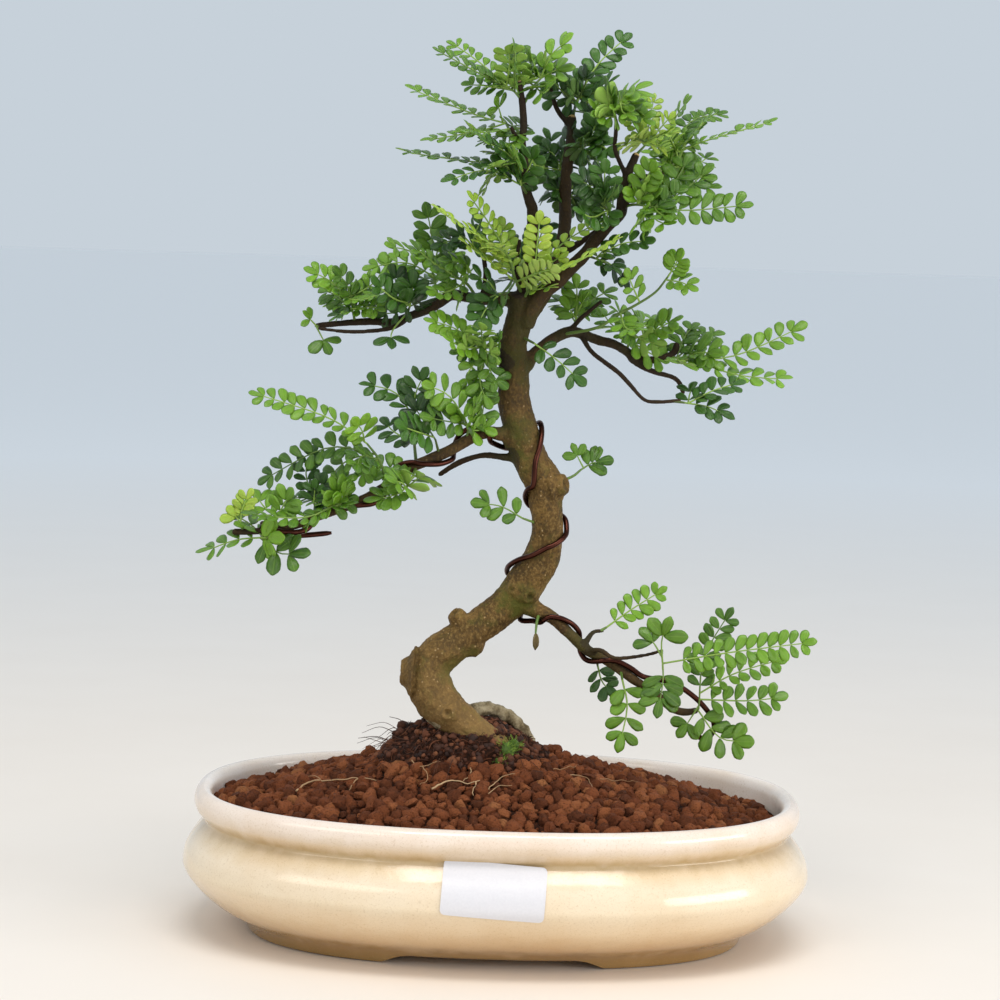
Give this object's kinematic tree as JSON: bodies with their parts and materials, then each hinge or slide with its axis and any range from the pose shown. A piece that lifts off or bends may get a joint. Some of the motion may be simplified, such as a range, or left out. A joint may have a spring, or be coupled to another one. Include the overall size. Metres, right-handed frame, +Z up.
{
  "type": "japanese pepper bonsai in an oval pot",
  "caption": "Small bent bonsai tree with fine compound leaves and a training wire, planted in clay granules in a shallow oval cream-glazed pot.",
  "frame": {"origin": "centre of the bounding box's bottom, on the surface that the pot stands on", "axes": "+Z up along the tree, +X along the pot's length to the right as seen from the front, -Y towards the front where the label is"},
  "size_m": [0.323, 0.2319, 0.4682],
  "materials": {
    "glaze": "glossy speckled cream glaze",
    "paper": "smooth white, unprinted",
    "screen": "black moulded mesh",
    "clay": "matt fired-clay granules",
    "peat": "matt fibrous root ball",
    "bark": "rough olive-brown bark",
    "wire": "copper-brown anodised, satin",
    "leaf_mid": "mid green waxy leaf",
    "leaf_dark": "dark green waxy leaf",
    "leaf_young": "yellow-green young leaf",
    "leaf_dry": "brown dry leaf"
  },
  "bodies": {
    "root": {"pot": "glaze", "label": "paper", "drain_screen_left": "screen", "drain_screen_right": "screen", "soil": "clay", "root_ball": "peat", "trunk": "bark", "training_wire": "wire", "spray_crown_left_high": "leaf_mid", "spray_crown_left_mid": "leaf_mid", "spray_crown_left_low": "leaf_mid", "spray_crown_left_arch": "leaf_dark", "spray_crown_top": "leaf_mid", "spray_crown_centre_high": "leaf_dark", "spray_crown_right_high": "leaf_mid", "spray_crown_right_young": "leaf_young", "spray_crown_arm": "leaf_mid", "spray_crown_right_low": "leaf_mid", "spray_crown_heart_right": "leaf_dark", "spray_crown_heart_back": "leaf_dark", "spray_crown_heart_low": "leaf_dark", "spray_crown_heart_front": "leaf_dark", "spray_centre_young_left": "leaf_young", "spray_centre_young_right": "leaf_young", "spray_right_leader_low": "leaf_dark", "spray_centre_dark": "leaf_dark", "spray_upper_left_tip": "leaf_mid", "spray_upper_left_long": "leaf_mid", "spray_upper_left_dark": "leaf_dark", "spray_upper_left_inner": "leaf_mid", "spray_upper_left_shoot": "leaf_mid", "spray_upper_left_twig": "leaf_dark", "spray_trunk_front_grey": "leaf_dark", "spray_stub_left": "leaf_mid", "spray_left_low_base": "leaf_mid", "spray_left_low_inner": "leaf_dark", "spray_left_low_high": "leaf_dark", "spray_left_low_long": "leaf_mid", "spray_left_low_under": "leaf_mid", "spray_left_low_mid": "leaf_mid", "spray_left_low_upright": "leaf_dark", "spray_left_low_outer": "leaf_mid", "spray_left_low_tip": "leaf_mid", "spray_left_low_end": "leaf_young", "spray_trunk_right_high": "leaf_dark", "spray_trunk_right": "leaf_mid", "spray_trunk_left": "leaf_mid", "leaf_dry_hanging": "leaf_dry", "spray_right_mid_long": "leaf_mid", "spray_right_mid_low": "leaf_dark", "spray_right_mid_inner": "leaf_mid", "spray_right_shoot": "leaf_mid", "spray_right_mid_base": "leaf_mid", "spray_right_low_twig": "leaf_mid", "spray_right_low_node": "leaf_mid", "spray_right_low_hanging": "leaf_mid", "spray_right_low_inner": "leaf_dark", "spray_right_low_tip": "leaf_mid"}
  },
  "joints": []
}
